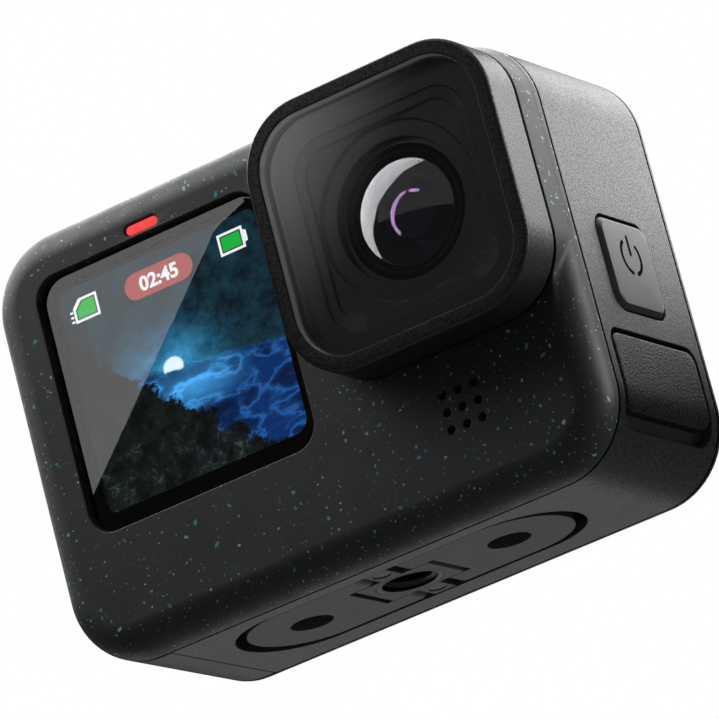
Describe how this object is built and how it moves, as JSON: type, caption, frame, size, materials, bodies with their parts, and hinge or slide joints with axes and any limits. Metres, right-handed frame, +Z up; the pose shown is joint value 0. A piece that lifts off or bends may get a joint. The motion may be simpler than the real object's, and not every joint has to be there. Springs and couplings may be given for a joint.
{
  "type": "action camera",
  "caption": "Pocket action camera with a square twist-off lens cover, front and rear screens, side battery door and folding mounting fingers under the base.",
  "frame": {"origin": "centre of the base: the middle of the width and of the whole depth, on the plane that the camera stands on", "axes": "+X to the right seen from the front, -Y the way the lens looks, +Z up"},
  "size_m": [0.0726, 0.0336, 0.0512],
  "materials": {
    "front_shell": "matte, flecked with small coloured chips",
    "housing_plastic": "fine sandy texture",
    "cover_plastic": "fine grain",
    "black_plastic": "plain moulded",
    "finger_plastic": "smooth satin",
    "screen_glass": "clear gloss over a black border",
    "display": "lit panel",
    "cover_glass": "hardened, clear",
    "lens_glass": "coated",
    "seal_rubber": "plain",
    "aluminium": "plain",
    "steel": "machined",
    "circuit_board": "solder resist",
    "gold": "plated",
    "red_plastic": "satin",
    "status_lens": "lit light pipe",
    "battery_case": "plain",
    "copper": "plain sheet"
  },
  "bodies": {
    "camera_body": {"front_cover": "front_shell", "main_housing": "housing_plastic", "rear_bezel": "housing_plastic", "chassis": "aluminium", "speaker_cover": "housing_plastic", "front_screen_glass": "screen_glass", "front_screen_gasket": "seal_rubber", "front_display": "display", "rear_touch_glass": "screen_glass", "rear_display": "display", "lens_collar": "black_plastic", "collar_screws": "steel", "lens_barrel": "black_plastic", "lens_retainer": "black_plastic", "front_element": "lens_glass", "inner_lenses": "lens_glass", "aperture_stop": "black_plastic", "lens_holder": "black_plastic", "ir_filter": "lens_glass", "image_sensor": "black_plastic", "sensor_board": "circuit_board", "sensor_screws": "steel", "main_board": "circuit_board", "processor": "black_plastic", "heat_spreader": "copper", "sensor_flex": "copper", "front_status_light": "status_lens", "microphone": "steel", "shutter_ring": "red_plastic", "shutter_switch": "steel", "button_board": "circuit_board", "mode_seal": "seal_rubber", "mode_switch": "steel", "door_hinge_pin": "steel", "battery": "battery_case", "battery_contacts": "gold", "card_slot": "steel", "usb_port": "steel", "speaker": "black_plastic", "tripod_block": "finger_plastic", "tripod_insert": "steel", "finger_pins": "steel", "body_screws": "steel", "tripod_block_screws": "steel"},
    "lens_cover": {"lens_cover_frame": "cover_plastic", "lens_cover_glass": "cover_glass", "lens_cover_baffle": "black_plastic", "lens_cover_seal": "seal_rubber"},
    "shutter_button": {"shutter_button": "housing_plastic"},
    "mode_button": {"mode_button": "housing_plastic"},
    "battery_door": {"battery_door": "housing_plastic", "door_seal": "seal_rubber"},
    "door_latch": {"door_latch": "housing_plastic"},
    "memory_card": {"memory_card": "black_plastic"},
    "finger_left": {"finger_left": "finger_plastic"},
    "finger_right": {"finger_right": "finger_plastic"}
  },
  "joints": [
    {"name": "lens_cover_twist", "type": "hinge", "parent": "camera_body", "child": "lens_cover", "pos_m": [0.0195, 0, 0.03415], "axis": [0, -1, 0], "range_deg": [0, 45]},
    {"name": "shutter_press", "type": "slide", "parent": "camera_body", "child": "shutter_button", "axis": [0, 0, -1], "range_m": [0, 0.0005], "stiffness_N_per_m": 300, "springref_m": -0.0005},
    {"name": "mode_press", "type": "slide", "parent": "camera_body", "child": "mode_button", "axis": [-1, 0, 0], "range_m": [0, 0.0004], "stiffness_N_per_m": 300, "springref_m": -0.0005},
    {"name": "battery_door_open", "type": "hinge", "parent": "camera_body", "child": "battery_door", "pos_m": [-0.0351, 0, 0.0412], "axis": [0, 1, 0], "range_deg": [0, 95]},
    {"name": "latch_slide", "type": "slide", "parent": "battery_door", "child": "door_latch", "axis": [0, 0, -1], "range_m": [0, 0.002], "stiffness_N_per_m": 100, "springref_m": -0.001},
    {"name": "card_press", "type": "slide", "parent": "camera_body", "child": "memory_card", "axis": [1, 0, 0], "range_m": [0, 0.0007], "stiffness_N_per_m": 150, "springref_m": -0.0005},
    {"name": "finger_left_fold", "type": "hinge", "parent": "camera_body", "child": "finger_left", "pos_m": [-0.0031, 0.00375, 0.00155], "axis": [0, -1, 0], "range_deg": [0, 90]},
    {"name": "finger_right_fold", "type": "hinge", "parent": "camera_body", "child": "finger_right", "pos_m": [0.0031, 0.00375, 0.00155], "axis": [0, 1, 0], "range_deg": [0, 90]}
  ]
}
